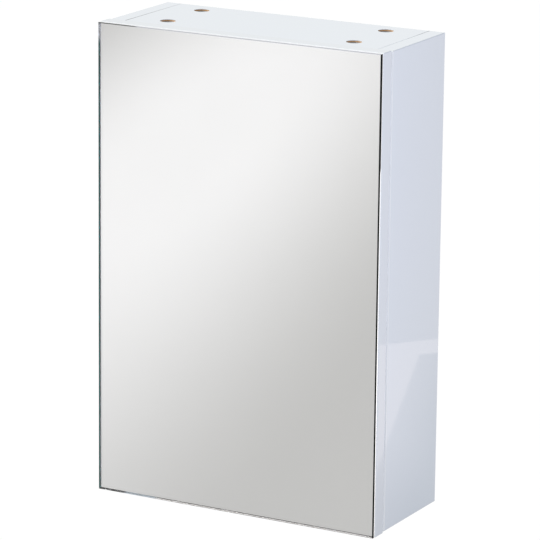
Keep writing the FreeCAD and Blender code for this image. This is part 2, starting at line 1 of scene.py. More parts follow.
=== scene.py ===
import math

import bmesh
import bpy
from mathutils import Matrix, Vector


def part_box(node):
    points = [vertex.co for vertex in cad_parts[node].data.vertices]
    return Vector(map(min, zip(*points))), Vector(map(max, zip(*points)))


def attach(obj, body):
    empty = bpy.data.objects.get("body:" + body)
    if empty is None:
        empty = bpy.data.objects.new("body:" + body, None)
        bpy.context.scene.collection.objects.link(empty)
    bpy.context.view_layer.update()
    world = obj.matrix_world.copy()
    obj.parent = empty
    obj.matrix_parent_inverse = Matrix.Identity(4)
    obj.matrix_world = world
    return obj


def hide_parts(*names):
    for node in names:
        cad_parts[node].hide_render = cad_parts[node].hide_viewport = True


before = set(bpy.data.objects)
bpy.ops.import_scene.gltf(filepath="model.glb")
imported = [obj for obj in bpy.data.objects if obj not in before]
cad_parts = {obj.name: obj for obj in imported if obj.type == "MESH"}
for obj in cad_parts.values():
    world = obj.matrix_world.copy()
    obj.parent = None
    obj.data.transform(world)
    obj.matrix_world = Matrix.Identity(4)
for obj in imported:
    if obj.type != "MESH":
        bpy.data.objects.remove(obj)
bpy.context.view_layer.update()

# Carcass boards: fibreboard cut to size and wrapped in a thin white foil with a high gloss.
# The foil has a faint orange peel and a lighter, warmer painted highlight round the front edges; bores show
# the bare board.
# Cams draw the top and bottom against the sides; painted shade darkens the seams, most at the front on the
# left and at the rear on the right.
foil_white = (0.687, 0.735, 0.778, 1.0)
foil_roughness = 0.018
foil_thickness = 0.0005
peel_per_metre = 420.0
peel_height = 0.0000015
bare_board_light = (0.960, 0.620, 0.300, 1.0)
bare_board_dark = (0.340, 0.175, 0.074, 1.0)
bare_board_roughness = 0.9
fibre_per_metre = 2600.0
# Painted highlight: a lighter, warmer tone over the rounded front edges of the boards, this far back from the
# front.
front_edge_highlight_tone = (0.790, 0.815, 0.810, 1.0)
board_edge_highlight_width = 0.0018
# Painted shade: a dark line along the seams, stronger towards one end.
seam_shade_tone = (0.110, 0.112, 0.120, 1.0)
seam_shade_width = 0.0006
seam_shade_depth = 0.0006
left_seam_shade = (1.0, 0.2)
right_seam_shade = (0.0, 0.6)
right_seam_shade_from = 0.55


def new_finish(name):
    """A material with its Principled shader, ready to take more nodes."""
    material = bpy.data.materials.new(name)
    material.use_nodes = True
    shader = material.node_tree.nodes["Principled BSDF"]
    return material, material.node_tree.nodes, material.node_tree.links, shader


def object_noise(nodes, links, per_metre, detail=3.0, stretch=(1.0, 1.0, 1.0)):
    """A noise texture fixed to the piece, with its grain drawn out along an axis by stretch."""
    place = nodes.new("ShaderNodeTexCoord")
    mapping = nodes.new("ShaderNodeMapping")
    mapping.inputs["Scale"].default_value = stretch
    noise = nodes.new("ShaderNodeTexNoise")
    noise.inputs["Scale"].default_value = per_metre
    noise.inputs["Detail"].default_value = detail
    links.new(place.outputs["Object"], mapping.inputs["Vector"])
    links.new(mapping.outputs["Vector"], noise.inputs["Vector"])
    return noise.outputs["Fac"]


def object_axes(nodes, links):
    """The X, Y and Z of a point on the piece, in metres."""
    place = nodes.new("ShaderNodeTexCoord")
    axes = nodes.new("ShaderNodeSeparateXYZ")
    links.new(place.outputs["Object"], axes.inputs["Vector"])
    return axes.outputs


def blend_colours(nodes, links, factor, first, second):
    """A colour between two plain ones, by a factor from another node."""
    ramp = nodes.new("ShaderNodeValToRGB")
    ramp.color_ramp.elements[0].color = first
    ramp.color_ramp.elements[1].color = second
    links.new(factor, ramp.inputs["Fac"])
    return ramp.outputs["Color"]


def set_or_link(links, value, socket):
    """Puts a plain colour or number into a socket, or links the output of another node to it."""
    if isinstance(value, (tuple, float)):
        socket.default_value = value
    else:
        links.new(value, socket)


def mix_of(nodes, links, factor, first, second, kind="RGBA"):
    """A colour or a number between two, each given plainly or by another node."""
    mix = nodes.new("ShaderNodeMix")
    mix.data_type = kind
    links.new(factor, mix.inputs["Factor"])
    set_or_link(links, first, mix.inputs["A"])
    set_or_link(links, second, mix.inputs["B"])
    return mix.outputs["Result"]


def two_values(nodes, links, operation, first, second):
    """What an operation makes of two numbers, each given plainly or by another node."""
    node = nodes.new("ShaderNodeMath")
    node.operation = operation
    set_or_link(links, first, node.inputs[0])
    set_or_link(links, second, node.inputs[1])
    return node.outputs["Value"]


def range_of(nodes, links, factor, low, high):
    """A factor from 0 to 1 spread over low to high."""
    spread = nodes.new("ShaderNodeMapRange")
    spread.inputs["To Min"].default_value = low
    spread.inputs["To Max"].default_value = high
    links.new(factor, spread.inputs["Value"])
    return spread.outputs["Result"]


def share_between(nodes, links, value, low, high, top=1.0, curve="LINEAR"):
    """0 up to low and top from high on, with a straight or a soft change between them."""
    share = nodes.new("ShaderNodeMapRange")
    share.interpolation_type = curve
    share.inputs["From Min"].default_value = low
    share.inputs["From Max"].default_value = high
    share.inputs["To Max"].default_value = top
    links.new(value, share.inputs["Value"])
    return share.outputs["Result"]


def soft_step(nodes, links, value, middle, reach):
    """0 below middle and 1 above it, with a soft change as far as reach on both sides."""
    return share_between(nodes, links, value, middle - reach, middle + reach, curve="SMOOTHSTEP")


def relief(nodes, links, shader, height, distance):
    """Fine relief on the surface, as high as distance."""
    bump = nodes.new("ShaderNodeBump")
    bump.inputs["Distance"].default_value = distance
    links.new(height, bump.inputs["Height"])
    links.new(bump.outputs["Normal"], shader.inputs["Normal"])


def folded_about(nodes, links, middle):
    """How far a point lies from middle along each axis, in metres."""
    place = nodes.new("ShaderNodeTexCoord")
    centred = nodes.new("ShaderNodeVectorMath")
    centred.operation = "SUBTRACT"
    centred.inputs[1].default_value = middle
    folded = nodes.new("ShaderNodeVectorMath")
    folded.operation = "ABSOLUTE"
    links.new(place.outputs["Object"], centred.inputs[0])
    links.new(centred.outputs["Vector"], folded.inputs[0])
    return folded.outputs["Vector"]


def depth_in_board(nodes, links, low, high):
    """How far a point lies inside the box of a board, in metres."""
    inside = nodes.new("ShaderNodeVectorMath")
    inside.operation = "SUBTRACT"
    inside.inputs[0].default_value = (high - low) / 2
    links.new(folded_about(nodes, links, (low + high) / 2), inside.inputs[1])
    axes = nodes.new("ShaderNodeSeparateXYZ")
    links.new(inside.outputs["Vector"], axes.inputs["Vector"])
    nearest = axes.outputs["X"]
    for axis in ("Y", "Z"):
        nearest = two_values(nodes, links, "MINIMUM", nearest, axes.outputs[axis])
    return nearest


def near_value(nodes, links, value, middle, width):
    """1 where a value lies within width of middle, and 0 elsewhere."""
    near = nodes.new("ShaderNodeMath")
    near.operation = "COMPARE"
    near.inputs[1].default_value = middle
    near.inputs[2].default_value = width
    links.new(value, near.inputs[0])
    return near.outputs["Value"]


def seam_shade_strength(nodes, links):
    """How strong the painted seam shade is: the left ones darkest at the front, the right ones at the rear.
    """
    front, rear = (corner.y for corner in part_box("top_panel"))
    axes = object_axes(nodes, links)
    backward = share_between(nodes, links, axes["Y"], front, rear)
    rear_part = share_between(nodes, links, backward, right_seam_shade_from, 1.0)
    on_right = two_values(nodes, links, "GREATER_THAN", axes["X"], 0.0)
    left_shade = range_of(nodes, links, backward, *left_seam_shade)
    right_shade = range_of(nodes, links, rear_part, *right_seam_shade)
    return mix_of(nodes, links, on_right, left_shade, right_shade, kind="FLOAT")


def seam_shade_mask(nodes, links):
    """The four lines where the top and bottom panels meet the side panels, darkened there as painted shade.
    """
    seam_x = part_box("top_panel")[1].x
    bottom_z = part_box("bottom_panel")[0].z
    top_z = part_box("top_panel")[1].z
    axes = nodes.new("ShaderNodeSeparateXYZ")
    links.new(folded_about(nodes, links, (0.0, 0.0, (bottom_z + top_z) / 2)), axes.inputs["Vector"])
    at_joint = near_value(nodes, links, axes.outputs["X"], seam_x, seam_shade_width)
    at_face = near_value(nodes, links, axes.outputs["Z"], (top_z - bottom_z) / 2, seam_shade_depth)
    line = two_values(nodes, links, "MULTIPLY", at_joint, at_face)
    return two_values(nodes, links, "MULTIPLY", line, seam_shade_strength(nodes, links))


def white_foil(node, foil, edge_highlight_width, seam_shade=True):
    """Gloss foil outside a board, with a painted highlight round its front, bare board in the bores and
    painted shade along the seams.
    """
    material, nodes, links, shader = new_finish("white_foil_" + node)
    low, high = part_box(node)
    bare = two_values(nodes, links, "GREATER_THAN", depth_in_board(nodes, links, low, high), foil_thickness)
    fibres = object_noise(nodes, links, fibre_per_metre, detail=6.0)
    board = blend_colours(nodes, links, fibres, bare_board_dark, bare_board_light)
    # Painted highlight: the front edges take the lighter, warmer tone.
    past_edge_highlight = soft_step(nodes, links, object_axes(nodes, links)["Y"], low.y + edge_highlight_width, edge_highlight_width / 3)
    outside = blend_colours(nodes, links, past_edge_highlight, front_edge_highlight_tone, foil)
    # Painted shade along the seams of the carcass.
    if seam_shade:
        outside = mix_of(nodes, links, seam_shade_mask(nodes, links), outside, seam_shade_tone)
    roughness = range_of(nodes, links, bare, foil_roughness, bare_board_roughness)
    links.new(mix_of(nodes, links, bare, outside, board), shader.inputs["Base Color"])
    links.new(roughness, shader.inputs["Roughness"])
    relief(nodes, links, shader, object_noise(nodes, links, peel_per_metre, detail=1.0), peel_height)
    return material


def dress(node, material):
    """Gives a part of the frame its finish."""
    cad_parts[node].material_slots[0].material = material


for node in ("left_side_panel", "right_side_panel", "top_panel", "bottom_panel"):
    dress(node, white_foil(node, foil_white, board_edge_highlight_width))
for node in ("upper_shelf", "lower_shelf"):
    dress(node, white_foil(node, foil_white, board_edge_highlight_width, seam_shade=False))

# Back panel: thin hardboard with a white painted face, slid into the grooves of the four boards.
# Its paint is nearly matt and slightly mottled.
back_paint_light = (0.800, 0.805, 0.800, 1.0)
back_paint_dark = (0.740, 0.745, 0.735, 1.0)
back_roughness = (0.48, 0.62)
mottle_per_metre = 90.0
tooth_per_metre = 1500.0
tooth_height = 0.00002

back_paint, nodes, links, shader = new_finish("back_panel_paint")
mottle = object_noise(nodes, links, mottle_per_metre, detail=5.0)
links.new(blend_colours(nodes, links, mottle, back_paint_dark, back_paint_light), shader.inputs["Base Color"])
links.new(range_of(nodes, links, mottle, *back_roughness), shader.inputs["Roughness"])
relief(nodes, links, shader, object_noise(nodes, links, tooth_per_metre, detail=2.0), tooth_height)
dress("back_panel", back_paint)

# Dowels: turned beech pegs, glued into both boards of each corner.
# They have straight grain along their length.
beech_light = (0.640, 0.430, 0.240, 1.0)
beech_dark = (0.420, 0.250, 0.120, 1.0)
beech_roughness = (0.5, 0.7)
beech_grain_per_metre = 900.0
beech_grain_stretch = (0.06, 1.0, 1.0)
beech_grain_height = 0.00005


def mottled(name, per_metre, tones, roughness, height=0.0, metallic=0.0, **grain):
    """A finish whose tone from dark to light, gloss and fine relief all follow one noise."""
    material, nodes, links, shader = new_finish(name)
    cloud = object_noise(nodes, links, per_metre, **grain)
    links.new(blend_colours(nodes, links, cloud, *tones), shader.inputs["Base Color"])
    links.new(range_of(nodes, links, cloud, *roughness), shader.inputs["Roughness"])
    shader.inputs["Metallic"].default_value = metallic
    if height:
        relief(nodes, links, shader, cloud, height)
    return material


beech = mottled(
    "beech", beech_grain_per_metre, (beech_dark, beech_light), beech_roughness, beech_grain_height,
    detail=4.0, stretch=beech_grain_stretch,
)
dress("wooden_dowels", beech)

# Cam locks: zinc die-castings that draw the head of a bolt in as they turn.
# They are dull grey with a cast skin, and sit below the face of the board in open bores.
# A raised rim round the slot of each cam is part of the casting.
zinc_light = (0.400, 0.405, 0.415, 1.0)
zinc_dark = (0.130, 0.132, 0.140, 1.0)
zinc_roughness = (0.32, 0.55)
zinc_metallic = 0.3
skin_per_metre = 1400.0
skin_height = 0.00003
cam_radius = 0.0074
rim_outer = 0.0072
rim_inner = 0.0054
rim_height = 0.0008
rim_rounding = 0.00025
rim_steps = 40
weld_distance = 0.000001
turn_between = 0.7
sharp_angle = math.radians(32.0)
pair_spread = 3

zinc = mottled(
    "zinc_casting", skin_per_metre, (zinc_dark, zinc_light), zinc_roughness, skin_height,
    metallic=zinc_metallic, detail=4.0,
)
dress("top_cam_locks", zinc)
dress("bottom_cam_locks", zinc)


def places_of(node, facing, radius):
    """The middle of each like piece in a node's box, on the face that looks along facing."""
    low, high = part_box(node)
    ranges = []
    for axis in range(3):
        if facing[axis]:
            ranges.append([high[axis] if facing[axis] > 0 else low[axis]])
        elif high[axis] - low[axis] > pair_spread * radius:
            ranges.append([low[axis] + radius, high[axis] - radius])
        else:
            ranges.append([(low[axis] + high[axis]) / 2])
    return [Vector((x, y, z)) for x in ranges[0] for y in ranges[1] for z in ranges[2]]


def mesh_of(name, shape):
    """The mesh of a finished shape."""
    mesh = bpy.data.meshes.new(name)
    shape.to_mesh(mesh)
    shape.free()
    return mesh


def new_piece(name, shape):
    """An object with the mesh of a finished shape, in the scene."""
    piece = bpy.data.objects.new(name, mesh_of(name, shape))
    bpy.context.scene.collection.objects.link(piece)
    return piece


def set_in_place(name, single, places, facing, finish):
    """Copies of one small piece, each turned a little further than the last, at their places."""
    whole = bmesh.new()
    aim = Vector(facing).to_track_quat("Z", "Y").to_matrix().to_4x4()
    for count, place in enumerate(places):
        known = len(whole.verts)
        whole.from_mesh(single)
        whole.verts.ensure_lookup_table()
        spot = Matrix.Translation(place) @ aim @ Matrix.Rotation(turn_between * count, 4, "Z")
        bmesh.ops.transform(whole, matrix=spot, verts=whole.verts[known:])
    piece = new_piece(name, whole)
    piece.data.shade_smooth()
    piece.data.set_sharp_from_angle(angle=sharp_angle)
    piece.data.materials.append(finish)
    return piece


def turned(outline, steps):
    """A shape turned on a lathe from an outline of radius and height."""
    shape = bmesh.new()
    points = [shape.verts.new((radius, 0.0, height)) for radius, height in outline]
    sides = [shape.edges.new(pair) for pair in zip(points, points[1:])]
    bmesh.ops.spin(
        shape, geom=points + sides, cent=(0, 0, 0), axis=(0, 0, 1),
        angle=math.tau, steps=steps, use_merge=True,
    )
    bmesh.ops.remove_doubles(shape, verts=shape.verts, dist=weld_distance)
    return shape


rim = turned([
    (rim_inner, 0.0), (rim_inner, rim_height - rim_rounding), (rim_inner + rim_rounding, rim_height),
    (rim_outer - rim_rounding, rim_height), (rim_outer, rim_height - rim_rounding), (rim_outer, 0.0),
    (rim_inner, 0.0),
], rim_steps)
bmesh.ops.recalc_face_normals(rim, faces=rim.faces)
rim_mesh = mesh_of("cam_rim", rim)
for node, facing, name in (
    ("top_cam_locks", (0, 0, 1), "top_cam_rims"),
    ("bottom_cam_locks", (0, 0, -1), "bottom_cam_rims"),
):
    rims = set_in_place(name, rim_mesh, places_of(node, facing, cam_radius), facing, zinc)
    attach(rims, "carcass")

# Cam bolts and screws: turned steel with a bright zinc plating, the screws with a pressed cross recess.
# The plating has fine marks round the metal and a slightly uneven tone.
plating_light = (0.500, 0.510, 0.520, 1.0)
plating_dark = (0.300, 0.308, 0.320, 1.0)
plating_marks_height = 0.00001
screw_roughness = (0.22, 0.38)
screw_marks_per_metre = 1800.0
cross_depth = 0.0010
cross_taper = 0.7
cross_reach = 0.80
cross_width = 0.17
turn_steps = 32
cell_middle = 0.5
hanger_screw = {"head": [(0.0033, 0.0), (0.00175, 0.0015)], "shank": 0.00175, "point": 0.004}


def plated_steel(name, per_metre, roughness, **grain):
    """Steel under zinc plating."""
    tones = (plating_dark, plating_light)
    return mottled(name, per_metre, tones, roughness, plating_marks_height, metallic=1.0, **grain)


screw_steel = plated_steel("screw_steel", screw_marks_per_metre, screw_roughness)
for node in ("top_cam_bolts", "bottom_cam_bolts"):
    dress(node, screw_steel)


def cross_floor(shape, arm_reach, arm_half_width):
    """The floor of a cross recess: a grid of nine cells without its corners."""
    floor = bmesh.ops.create_grid(shape, x_segments=3, y_segments=3, size=1.0)["verts"]
    cells = {face: face.calc_center_median() for vert in floor for face in vert.link_faces}
    corners = [face for face, middle in cells.items() if min(abs(middle.x), abs(middle.y)) > cell_middle]
    bmesh.ops.delete(shape, geom=corners, context="FACES")
    floor = [vert for vert in floor if vert.is_valid]
    for vert in floor:
        vert.co.x = math.copysign(arm_half_width if abs(vert.co.x) < cell_middle else arm_reach, vert.co.x)
        vert.co.y = math.copysign(arm_half_width if abs(vert.co.y) < cell_middle else arm_reach, vert.co.y)
        vert.co.z = -cross_depth
    return floor


def cross_head_screws(name, node, body, facing, screw):
    """Screws with a cross recess: the head is an outline of radius and drop, from the crown down."""
    low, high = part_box(node)
    length = max((high - low)[axis] for axis in range(3) if facing[axis])
    outline = [(radius, -drop) for radius, drop in screw["head"]]
    outline += [(screw["shank"], outline[-1][1]), (screw["shank"], screw["point"] - length), (0.0, -length)]
    shape = turned(outline, turn_steps)
    crown = [edge for edge in shape.edges if edge.is_boundary]
    floor_radius = screw["head"][0][0] * cross_taper
    floor = cross_floor(shape, floor_radius * cross_reach, floor_radius * cross_width)
    border = list({edge for vert in floor for edge in vert.link_edges if edge.is_boundary})
    walls = bmesh.ops.extrude_edge_only(shape, edges=border)["geom"]
    mouth = [part for part in walls if isinstance(part, bmesh.types.BMVert)]
    wall_edges = [part for part in walls if isinstance(part, bmesh.types.BMEdge)]
    mouth_edges = [edge for edge in wall_edges if set(edge.verts) <= set(mouth)]
    bmesh.ops.scale(shape, vec=(1 / cross_taper, 1 / cross_taper, 1.0), verts=mouth)
    bmesh.ops.translate(shape, vec=(0, 0, cross_depth), verts=mouth)
    bmesh.ops.triangle_fill(shape, use_beauty=True, use_dissolve=False, edges=crown + mouth_edges)
    bmesh.ops.recalc_face_normals(shape, faces=shape.faces)
    single = mesh_of(name + "_one", shape)
    head_radius = max(radius for radius, drop in screw["head"])
    screws = set_in_place(name, single, places_of(node, facing, head_radius), facing, screw_steel)
    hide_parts(node)
    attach(screws, body)


cross_head_screws("hanger_cross_screws", "hanger_screws", "carcass", (0, 1, 0), hanger_screw)

# Hangers: pressed steel plates with a keyhole, let in flush with the rear edges of the side panels.
# The sheet keeps the straight rolling marks of the mill under its zinc.
hanger_roughness = (0.28, 0.42)
rolling_per_metre = 2200.0
rolling_stretch = (1.0, 1.0, 0.05)

hanger_steel = plated_steel("hanger_steel", rolling_per_metre, hanger_roughness, stretch=rolling_stretch)
dress("left_hanger_plate", hanger_steel)
dress("right_hanger_plate", hanger_steel)

# Shelf pins and hinges: steel and zinc parts with a smooth nickel plating.
# Nickel is a little warmer than zinc and shines more.
# Cross-head screws hold the cups to the door, and the plates and arms to the left side panel.
nickel_tones = ((0.560, 0.540, 0.505, 1.0), (0.720, 0.700, 0.660, 1.0))
nickel_cloud_height = 0.000008
cast_roughness = (0.20, 0.34)
cast_cloud_per_metre = 500.0
sheet_roughness = (0.12, 0.26)
sheet_cloud_per_metre = 700.0
sheet_stretch = (1.0, 1.0, 0.2)
cup_screw = {
    "head": [(0.0022, 0.0), (0.0026, 0.0002), (0.003, 0.0006), (0.0032, 0.0011), (0.0032, 0.0014)],
    "shank": 0.0015, "point": 0.003,
}
plate_screw = {"head": [(0.0038, 0.0), (0.0024, 0.0022)], "shank": 0.0024, "point": 0.003}
arm_screw = {
    "head": [(0.0027, 0.0), (0.0030, 0.0001), (0.0032, 0.0004), (0.0032, 0.0016)],
    "shank": 0.0019, "point": 0.0005,
}

cast_nickel = mottled(
    "cast_nickel", cast_cloud_per_metre, nickel_tones, cast_roughness, nickel_cloud_height, metallic=1.0,
)
sheet_nickel = mottled(
    "sheet_nickel", sheet_cloud_per_metre, nickel_tones, sheet_roughness, nickel_cloud_height,
    metallic=1.0, stretch=sheet_stretch,
)
for node in ("upper_shelf_pins", "lower_shelf_pins"):
    dress(node, cast_nickel)
for hinge in ("upper_hinge_", "lower_hinge_"):
    for piece in ("plate", "arm"):
        dress(hinge + piece, cast_nickel)
    for piece in ("cup", "outer_link", "inner_link"):
        dress(hinge + piece, sheet_nickel)
    for piece in ("arm_pins", "cup_pins"):
        dress(hinge + piece, screw_steel)
    for piece, body, facing, screw in (
        ("cup", "door", (0, 1, 0), cup_screw),
        ("plate", "carcass", (1, 0, 0), plate_screw),
        ("arm", "carcass", (1, 0, 0), arm_screw),
    ):
        cross_head_screws(hinge + piece + "_cross_screws", hinge + piece + "_screws", body, facing, screw)

# Door board: fibreboard wrapped in foil like the carcass, a shade different in tone.
# It is bored from behind for the two hinge cups.
door_white = (0.675, 0.715, 0.745, 1.0)
door_edge_highlight_width = 0.0009

# Its front edge carries the same painted highlight, over a narrower width.
dress("door_board", white_foil("door_board", door_white, door_edge_highlight_width, seam_shade=False))

# Tapes: white foam strips with adhesive on both faces.
# They hold the mirror to its board and take up the roughness between the two.
foam_tones = ((0.660, 0.660, 0.640, 1.0), (0.780, 0.780, 0.760, 1.0))
foam_roughness = (0.75, 0.95)
foam_cells_per_metre = 3000.0
foam_cell_height = 0.00005

dress("mirror_tapes", mottled(
    "tape_foam", foam_cells_per_metre, foam_tones, foam_roughness, foam_cell_height, detail=2.0,
))

# Silvering: the silver layer on the back of the glass, under grey protective paint.
# It is bonded to the glass, so this sheet lies just inside the rear face.
silver_tones = ((0.905, 0.901, 0.902, 1.0), (0.925, 0.921, 0.922, 1.0))
silver_roughness = (0.0, 0.004)
silver_cloud_per_metre = 14.0
paint_tones = ((0.190, 0.200, 0.205, 1.0), (0.235, 0.245, 0.250, 1.0))
paint_roughness = (0.5, 0.7)
spray_per_metre = 700.0
silver_sink = 0.00003
silver_thickness = 0.00006
silver_margin = 0.00003
silver_corner = 0.0006
facing_limit = 0.5

glass_low, glass_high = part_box("mirror_glass")
sheet = bmesh.new()
bmesh.ops.create_cube(sheet, size=1.0)
span = Vector((
    glass_high.x - glass_low.x - 2 * silver_margin,
    silver_thickness,
    glass_high.z - glass_low.z - 2 * silver_margin,
))
centre = (glass_low + glass_high) / 2
centre.y = glass_high.y - silver_sink - silver_thickness / 2
bmesh.ops.scale(sheet, vec=span, verts=sheet.verts)
bmesh.ops.translate(sheet, vec=centre, verts=sheet.verts)
corners = [e for e in sheet.edges if abs(e.verts[0].co.y - e.verts[1].co.y) > silver_thickness / 2]
bmesh.ops.bevel(
    sheet, geom=corners, offset=silver_corner, offset_type="OFFSET",
    affect="EDGES", segments=3, profile=0.5, material=-1,
)
silvering = new_piece("mirror_silvering", sheet)
silvering.data.materials.append(
    mottled("silver_layer", silver_cloud_per_metre, silver_tones, silver_roughness, metallic=1.0, detail=2.0))
silvering.data.materials.append(
    mottled("mirror_back_paint", spray_per_metre, paint_tones, paint_roughness))
for face in silvering.data.polygons:
    face.material_index = 0 if face.normal.y < -facing_limit else 1
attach(silvering, "door")

# Mirror glass: one sheet of float glass, cut and ground, with a narrow arris round its front.
# Its upright edges carry a dark sealer whose tones are partly painted shade, teal on the left and near black
# on the right, and the sealer runs on a little round the left corners.
# Painted highlights lie along the front and top of the left edge and the rear of the right one, and the top
# and bottom faces carry painted highlights, reflections and shade.
arris_width = 0.0005
flat_limit = 0.9
glass_tones = ((0.992, 0.994, 0.992, 1.0), (1.0, 1.0, 1.0, 1.0))
glass_roughness = (0.0, 0.002)
glass_index = 1.52
ream_per_metre = 6.0
# Sealer tones, partly painted shade, and the painted highlight strips of the upright edges.
seal_left_and_painted_shade = (0.000, 0.130, 0.115, 1.0)
seal_right_and_painted_shade = (0.002, 0.003, 0.005, 1.0)
seal_roughness = (0.10, 0.20)
seal_specular = 0.02
seal_marks_per_metre = 300.0
seal_marks_stretch = (1.0, 1.0, 0.2)
# Sealer run onto the top and bottom faces near the left, partly painted shade.
seal_run_and_painted_shade = (0.014, 0.018, 0.016, 1.0)
seal_run_top = -0.1085
seal_run_bottom = -0.121
seal_run_fade = 0.004
left_edge_painted_highlight = (0.930, 0.950, 0.945, 1.0)
left_highlight_width = 0.0010
left_highlight_top = 0.016
left_highlight_fade = 0.005
right_edge_painted_highlight = (0.900, 0.950, 0.980, 1.0)
right_highlight_low = 0.0014
right_highlight_high = 0.0006
right_highlight_change = -0.068
right_highlight_fade = 0.003
# Painted light on the top and bottom faces: a grey front band and a white painted highlight on the top, and
# pale, light and dark bands along the bottom as painted reflection and shade.
top_front_painted_shade = (0.400, 0.405, 0.430, 1.0)
top_painted_highlight = (0.950, 0.955, 0.960, 1.0)
top_front_width = 0.0022
bottom_painted_light_tone = (0.620, 0.700, 0.750, 1.0)
bottom_painted_highlight = (0.950, 0.925, 0.900, 1.0)
bottom_arris_painted_shade = (0.130, 0.118, 0.110, 1.0)
bottom_highlight_from = -0.087
bottom_highlight_fade = 0.004
ground_roughness = (0.45, 0.65)
grind_per_metre = 2500.0
grind_height = 0.00002

pane = bmesh.new()
bmesh.ops.create_cube(pane, size=1.0)
bmesh.ops.scale(pane, vec=glass_high - glass_low, verts=pane.verts)
bmesh.ops.translate(pane, vec=(glass_low + glass_high) / 2, verts=pane.verts)
middle_y = (glass_low.y + glass_high.y) / 2
front_edges = [e for e in pane.edges if all(v.co.y < middle_y for v in e.verts)]
bmesh.ops.bevel(
    pane, geom=front_edges, offset=arris_width, offset_type="OFFSET",
    affect="EDGES", segments=1, profile=0.5, material=-1,
)
for face in pane.faces:
    if abs(face.normal.y) > flat_limit:
        face.material_index = 0
    elif abs(face.normal.x) > abs(face.normal.z):
        face.material_index = 1
    else:
        face.material_index = 2
mirror_pane = new_piece("mirror_pane", pane)

glass = mottled("float_glass", ream_per_metre, glass_tones, glass_roughness, detail=1.0)
shader = glass.node_tree.nodes["Principled BSDF"]
shader.inputs["Transmission Weight"].default_value = 1.0
shader.inputs["IOR"].default_value = glass_index

# Painted light on the upright edges: sealer darkened as painted shade, with painted highlight strips; the
# right strip is metallic, as a painted reflection.
sealer, nodes, links, shader = new_finish("edge_sealer_and_painted_light")
axes = object_axes(nodes, links)
rightward = share_between(nodes, links, axes["X"], glass_low.x, glass_high.x)
upper = soft_step(nodes, links, axes["Z"], right_highlight_change, right_highlight_fade)
left_limit = glass_low.y + left_highlight_width
right_limit = range_of(nodes, links, upper, glass_high.y - right_highlight_low, glass_high.y - right_highlight_high)
limit = mix_of(nodes, links, rightward, left_limit, right_limit, kind="FLOAT")
behind = two_values(nodes, links, "GREATER_THAN", axes["Y"], limit)
near_top = soft_step(nodes, links, axes["Z"], glass_high.z - left_highlight_top, left_highlight_fade)
sealed = two_values(nodes, links, "MULTIPLY", behind, range_of(nodes, links, near_top, 1.0, 0.0))
left_tone = blend_colours(nodes, links, sealed, left_edge_painted_highlight, seal_left_and_painted_shade)
right_tone = blend_colours(nodes, links, behind, seal_right_and_painted_shade, right_edge_painted_highlight)
links.new(mix_of(nodes, links, rightward, left_tone, right_tone), shader.inputs["Base Color"])
links.new(two_values(nodes, links, "MULTIPLY", behind, rightward), shader.inputs["Metallic"])
brushed = object_noise(nodes, links, seal_marks_per_metre, detail=2.0, stretch=seal_marks_stretch)
links.new(range_of(nodes, links, brushed, *seal_roughness), shader.inputs["Roughness"])
shader.inputs["Specular IOR Level"].default_value = seal_specular

# Painted light on the ground top and bottom faces, in bands across and along them.
ground, nodes, links, shader = new_finish("ground_edge_painted_light")
axes = object_axes(nodes, links)
upward = share_between(nodes, links, axes["Z"], glass_low.z, glass_high.z)
bottom_limit = glass_low.y + arris_width + weld_distance
top_limit = glass_low.y + top_front_width
front = two_values(
    nodes, links, "LESS_THAN", axes["Y"], range_of(nodes, links, upward, bottom_limit, top_limit))
run_top = soft_step(nodes, links, axes["X"], seal_run_top, seal_run_fade)
run_bottom = soft_step(nodes, links, axes["X"], seal_run_bottom, seal_run_fade)
far = soft_step(nodes, links, axes["X"], bottom_highlight_from, bottom_highlight_fade)
top_front = blend_colours(nodes, links, run_top, seal_run_and_painted_shade, top_front_painted_shade)
top_tone = mix_of(nodes, links, front, top_painted_highlight, top_front)
bottom_face = blend_colours(nodes, links, far, bottom_painted_light_tone, bottom_painted_highlight)
bottom_front = blend_colours(nodes, links, far, bottom_painted_light_tone, bottom_arris_painted_shade)
bottom_both = mix_of(nodes, links, front, bottom_face, bottom_front)
bottom_tone = mix_of(nodes, links, run_bottom, seal_run_and_painted_shade, bottom_both)
links.new(mix_of(nodes, links, upward, bottom_tone, top_tone), shader.inputs["Base Color"])
# The dark front arris on the right of the bottom is metallic, as a painted reflection.
painted_arris_reflection = mix_of(nodes, links, front, far, 0.0, kind="FLOAT")
painted_arris_reflection = mix_of(nodes, links, upward, painted_arris_reflection, 0.0, kind="FLOAT")
links.new(painted_arris_reflection, shader.inputs["Metallic"])
grind = object_noise(nodes, links, grind_per_metre, detail=3.0)
links.new(range_of(nodes, links, grind, *ground_roughness), shader.inputs["Roughness"])
relief(nodes, links, shader, grind, grind_height)

for finish in (glass, sealer, ground):
    mirror_pane.data.materials.append(finish)
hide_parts("mirror_glass")
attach(mirror_pane, "door")

# Bumper: a soft pale strip of plastic, smooth from the die it was drawn through.
# It is stuck to the front edge of the right side panel, where the door lands.
strip_tones = ((0.970, 0.885, 0.755, 1.0), (0.990, 0.905, 0.775, 1.0))
strip_roughness = (0.05, 0.12)
strip_haze_per_metre = 400.0
strip_haze_height = 0.000004

dress("door_bumpers", mottled(
    "soft_strip", strip_haze_per_metre, strip_tones, strip_roughness, strip_haze_height, detail=2.0,
))

# Studio floor: a pale floor well below the hung cabinet, with painted light in its colour: white behind it to
# the left, and a painted pool of light in front to the left, where the mirror looks.
floor_height = -1.62
floor_span = 40.0
floor_pale = (0.585, 0.585, 0.575, 1.0)
floor_painted_light = (0.980, 0.980, 0.980, 1.0)
pool_centre = (-3.572, -6.239, floor_height)
pool_turn = math.radians(-19.2)
pool_reach = (0.93, 6.60, 1.0)
pool_fade = (0.03, 0.85)
pool_level = 0.98
painted_light_direction = (-0.5, 0.866, 0.0)
painted_light_fade = (1.80, 2.20)

